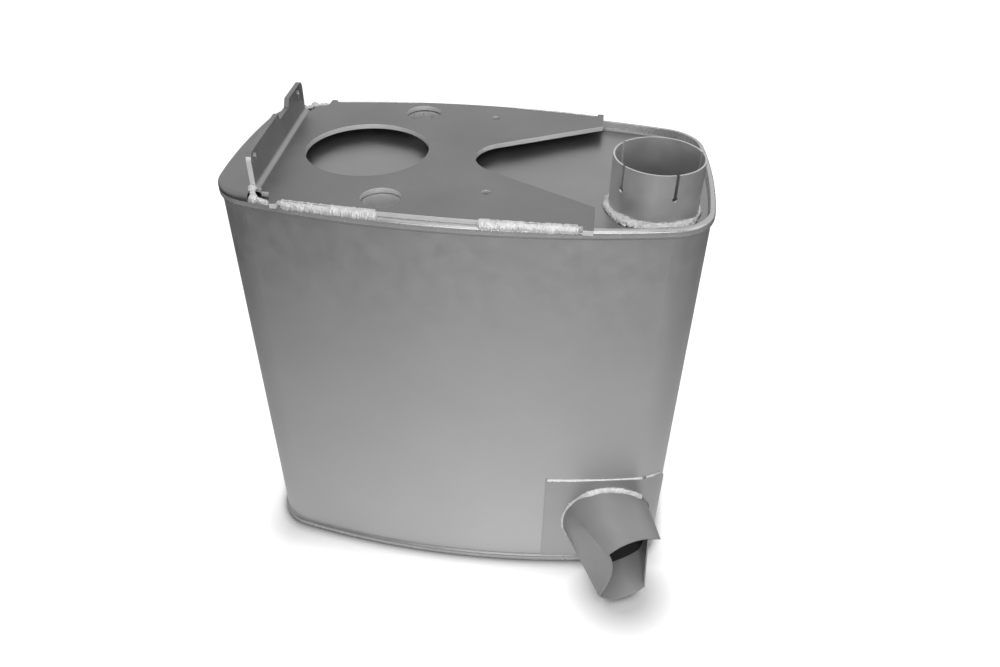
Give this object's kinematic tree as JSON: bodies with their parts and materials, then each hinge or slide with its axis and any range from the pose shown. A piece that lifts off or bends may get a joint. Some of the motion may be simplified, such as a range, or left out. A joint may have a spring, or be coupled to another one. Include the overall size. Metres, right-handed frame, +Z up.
{
  "type": "muffler",
  "caption": "Upright box muffler of bare sheet steel with rolled end beads, a welded mounting plate, a slotted round inlet on top and a pinched tail pipe low on one corner.",
  "frame": {"origin": "centre of the body's outline, at the height of the lower rim that it stands on", "axes": "+Z up, +X along the long side towards the inlet end, -Y towards the front side where the tail pipe leaves"},
  "size_m": [0.5779, 0.3885, 0.6046],
  "materials": {
    "coated_sheet": "dull metal-coated sheet, fine grain",
    "plate_steel": "dull rolled plate",
    "pipe_steel": "bare drawn tube, brushed along its length",
    "weld_metal": "bright rippled weld bead",
    "inner_steel": "plain sheet",
    "mineral_wool": "pressed fibre mat"
  },
  "bodies": {
    "root": {"shell_wrap": "coated_sheet", "wrap_seam_weld": "weld_metal", "top_cap": "coated_sheet", "bottom_cap": "coated_sheet", "mounting_plate": "plate_steel", "left_end_cover": "coated_sheet", "plate_weld_front_left": "weld_metal", "plate_weld_front_right": "weld_metal", "plate_weld_rear_left": "weld_metal", "plate_weld_rear_right": "weld_metal", "flange_weld_front": "weld_metal", "flange_weld_rear": "weld_metal", "inlet_pipe": "pipe_steel", "inlet_weld": "weld_metal", "sleeve_front": "pipe_steel", "sleeve_rear": "pipe_steel", "outlet_patch": "coated_sheet", "outlet_patch_weld": "weld_metal", "tail_pipe": "pipe_steel", "tail_pipe_weld": "weld_metal", "insulation_blanket": "mineral_wool", "inner_liner": "inner_steel", "upper_baffle": "inner_steel", "lower_baffle": "inner_steel", "core_tube": "inner_steel"}
  },
  "joints": []
}
